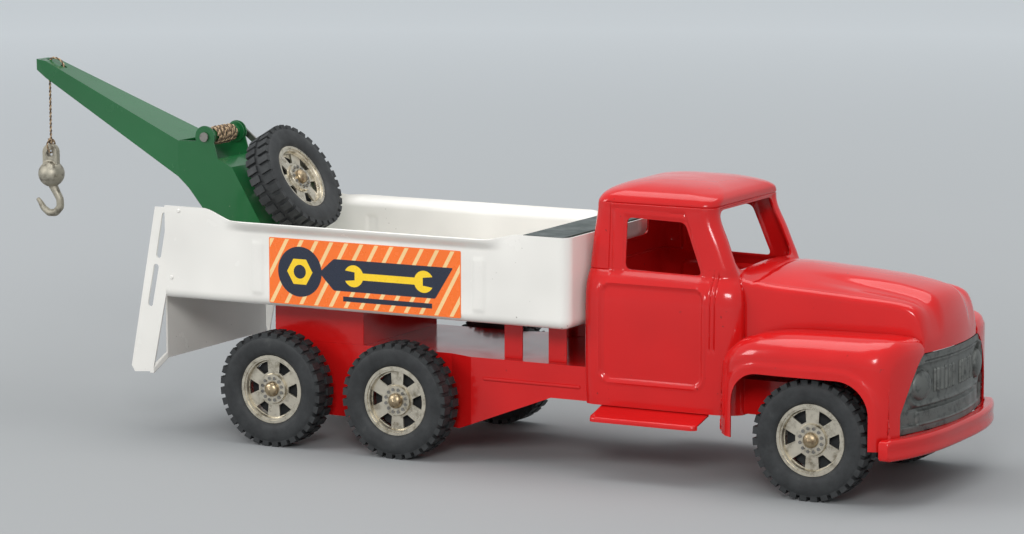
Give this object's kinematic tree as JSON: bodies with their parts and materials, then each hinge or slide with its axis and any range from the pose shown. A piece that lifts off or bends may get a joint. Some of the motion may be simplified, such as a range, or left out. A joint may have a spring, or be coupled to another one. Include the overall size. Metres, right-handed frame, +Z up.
{
  "type": "toy crane truck",
  "caption": "Pressed-steel toy wrecker truck with open bed, fixed boom, string winch with hanging hook, spare wheel and free-rolling wheels.",
  "frame": {"origin": "on the ground in the centre plane, midway between the bumper's front and the hook's tip", "axes": "+X forwards, +Y to the truck's left, +Z up"},
  "size_m": [0.6954, 0.176, 0.2421],
  "materials": {
    "red_enamel": "gloss",
    "white_enamel": "gloss",
    "green_enamel": "gloss",
    "dark_green_enamel": "satin",
    "tyre_rubber": "satin",
    "plated_rim": "satin",
    "bronze_cap": "satin",
    "steel_rod": "satin",
    "grille_metal": "satin",
    "label_print": "gloss",
    "string": "matte",
    "hook_casting": "satin"
  },
  "bodies": {
    "truck": {"chassis_frame": "red_enamel", "rear_bolster": "red_enamel", "bed_brackets": "red_enamel", "front_axle": "steel_rod", "middle_axle": "steel_rod", "rear_axle": "steel_rod", "bed_box": "white_enamel", "bed_rivets": "white_enamel", "deck_plate": "dark_green_enamel", "rear_apron": "white_enamel", "side_label_right": "label_print", "side_label_left": "label_print", "cab_body": "red_enamel", "cab_roof": "red_enamel", "hood": "red_enamel", "fender_right": "red_enamel", "fender_left": "red_enamel", "grille": "grille_metal", "bumper": "red_enamel", "running_board_right": "red_enamel", "running_board_left": "red_enamel", "boom_shell": "green_enamel", "spare_stud": "steel_rod", "boom_string": "string", "hanging_string": "string", "spare_cap": "bronze_cap", "caps_front": "bronze_cap", "caps_middle": "bronze_cap", "caps_rear": "bronze_cap"},
    "wheel_front_right": {"tyre_front_right": "tyre_rubber", "rim_front_right": "plated_rim"},
    "wheel_front_left": {"tyre_front_left": "tyre_rubber", "rim_front_left": "plated_rim"},
    "wheel_middle_right": {"tyre_middle_right": "tyre_rubber", "rim_middle_right": "plated_rim"},
    "wheel_middle_left": {"tyre_middle_left": "tyre_rubber", "rim_middle_left": "plated_rim"},
    "wheel_rear_right": {"tyre_rear_right": "tyre_rubber", "rim_rear_right": "plated_rim"},
    "wheel_rear_left": {"tyre_rear_left": "tyre_rubber", "rim_rear_left": "plated_rim"},
    "spare_wheel": {"spare_tyre": "tyre_rubber", "spare_rim": "plated_rim"},
    "winch": {"winch_shaft": "steel_rod", "winch_drum": "green_enamel", "winch_string": "string"},
    "string_end": {"string_knot": "string"},
    "hook": {"crane_hook": "hook_casting"}
  },
  "joints": [
    {"name": "spin_front_right", "type": "hinge", "parent": "truck", "child": "wheel_front_right", "pos_m": [0.2795, -0.0703, 0.038], "axis": [0, 1, 0], "continuous": true},
    {"name": "spin_front_left", "type": "hinge", "parent": "truck", "child": "wheel_front_left", "pos_m": [0.2795, 0.0703, 0.038], "axis": [0, 1, 0], "continuous": true},
    {"name": "spin_middle_right", "type": "hinge", "parent": "truck", "child": "wheel_middle_right", "pos_m": [-0.013, -0.0703, 0.038], "axis": [0, 1, 0], "continuous": true},
    {"name": "spin_middle_left", "type": "hinge", "parent": "truck", "child": "wheel_middle_left", "pos_m": [-0.013, 0.0703, 0.038], "axis": [0, 1, 0], "continuous": true},
    {"name": "spin_rear_right", "type": "hinge", "parent": "truck", "child": "wheel_rear_right", "pos_m": [-0.1065, -0.0703, 0.038], "axis": [0, 1, 0], "continuous": true},
    {"name": "spin_rear_left", "type": "hinge", "parent": "truck", "child": "wheel_rear_left", "pos_m": [-0.1065, 0.0703, 0.038], "axis": [0, 1, 0], "continuous": true},
    {"name": "spin_spare", "type": "hinge", "parent": "truck", "child": "spare_wheel", "pos_m": [-0.1255, 0, 0.1714], "axis": [0.8572, 0, 0.515], "continuous": true},
    {"name": "winch_turn", "type": "hinge", "parent": "truck", "child": "winch", "pos_m": [-0.1915, 0, 0.195], "axis": [0, -1, 0], "range_deg": [-705, 264]},
    {"name": "hook_hoist", "type": "slide", "parent": "truck", "child": "string_end", "axis": [0, 0, 1], "range_m": [-0.0805, 0.0302], "deforming": ["hanging_string"]},
    {"name": "hook_swing", "type": "hinge", "parent": "string_end", "child": "hook", "pos_m": [-0.331, 0, 0.1746], "axis": [0, 1, 0], "range_deg": [-35, 35]}
  ],
  "couplings": [
    {"joint": "hook_hoist", "follows": "winch_turn", "m_per_rad": 0.0065}
  ]
}
